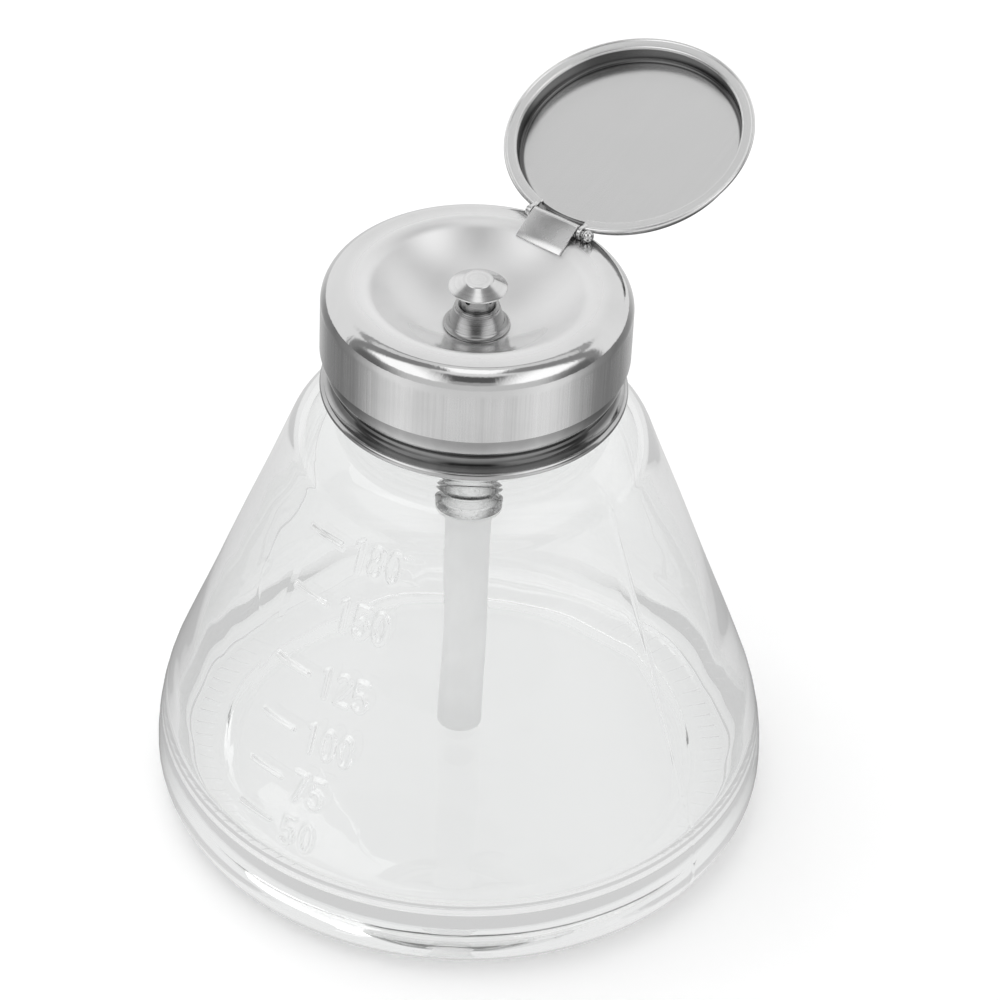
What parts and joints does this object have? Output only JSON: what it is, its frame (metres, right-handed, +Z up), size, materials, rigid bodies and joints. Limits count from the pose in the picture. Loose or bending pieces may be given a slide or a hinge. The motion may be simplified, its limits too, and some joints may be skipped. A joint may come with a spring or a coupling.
{
  "type": "syrup dispenser",
  "caption": "Conical clear glass dispenser bottle with a screwed steel dish cap, a push-down pump nozzle, a dip tube and a round hinged lid that stands open.",
  "frame": {"origin": "on the bottle's axis, in the plane that the bottle stands on", "axes": "+Z up along the bottle's axis, +Y towards the lid hinge, X along the hinge pin"},
  "size_m": [0.085, 0.0915, 0.0956],
  "materials": {
    "bottle_glass": "clear pressed glass, smooth",
    "gasket_foam": "white foam",
    "insert_plastic": "white moulded plastic",
    "collar_steel": "polished rolled sheet",
    "cap_steel": "polished lip and dish, skirt brushed upwards",
    "boss_steel": "turned",
    "pump_steel": "drawn tube",
    "pump_end_plastic": "milky, slightly clear plastic",
    "tube_plastic": "milky tube",
    "cage_steel": "turned",
    "inlet_ball_steel": "polished ball",
    "spring_steel": "drawn wire",
    "piston_plastic": "natural moulded plastic",
    "seal_rubber": "black, smooth",
    "outlet_ball_steel": "polished ball",
    "stem_steel": "turned and polished",
    "nozzle_steel": "turned, satin",
    "leaf_steel": "sheet, brushed across",
    "pin_steel": "rounded ends, polished",
    "lid_steel": "polished sheet"
  },
  "bodies": {
    "bottle": {"glass_bottle": "bottle_glass"},
    "washer": {"neck_gasket": "gasket_foam"},
    "cap": {"thread_insert": "insert_plastic", "screw_collar": "collar_steel", "dish_cap": "cap_steel", "guide_boss": "boss_steel", "pump_barrel": "pump_steel", "barrel_end": "pump_end_plastic", "dip_tube": "tube_plastic", "ball_cage": "cage_steel", "hinge_leaf": "leaf_steel", "hinge_pin": "pin_steel", "pump_spring": "spring_steel"},
    "plunger": {"piston": "piston_plastic", "piston_seal": "seal_rubber", "nozzle_stem": "stem_steel", "nozzle_head": "nozzle_steel"},
    "inlet_valve": {"inlet_ball": "inlet_ball_steel"},
    "outlet_valve": {"outlet_ball": "outlet_ball_steel"},
    "lid": {"lid": "lid_steel"}
  },
  "joints": [
    {"name": "cap_rise", "type": "slide", "parent": "bottle", "child": "washer", "axis": [0, 0, 1], "range_m": [0, 0.00451]},
    {"name": "cap_turn", "type": "hinge", "parent": "washer", "child": "cap", "pos_m": [0, 0, 0], "axis": [0, 0, 1], "range_deg": [0, 540]},
    {"name": "lid_hinge", "type": "hinge", "parent": "cap", "child": "lid", "pos_m": [0, 0.017, 0.08392], "axis": [1, 0, 0], "range_deg": [0, 160.5]},
    {"name": "nozzle_press", "type": "slide", "parent": "cap", "child": "plunger", "axis": [0, 0, -1], "range_m": [0, 0.0023], "stiffness_N_per_m": 500, "springref_m": -0.004, "deforming": ["pump_spring"]},
    {"name": "inlet_lift", "type": "slide", "parent": "cap", "child": "inlet_valve", "axis": [0, 0, 1], "range_m": [0, 0.00075]},
    {"name": "outlet_lift", "type": "slide", "parent": "plunger", "child": "outlet_valve", "axis": [0, 0, 1], "range_m": [0, 0.0007]}
  ],
  "couplings": [
    {"joint": "cap_rise", "follows": "cap_turn", "m_per_rad": 0.000477}
  ]
}
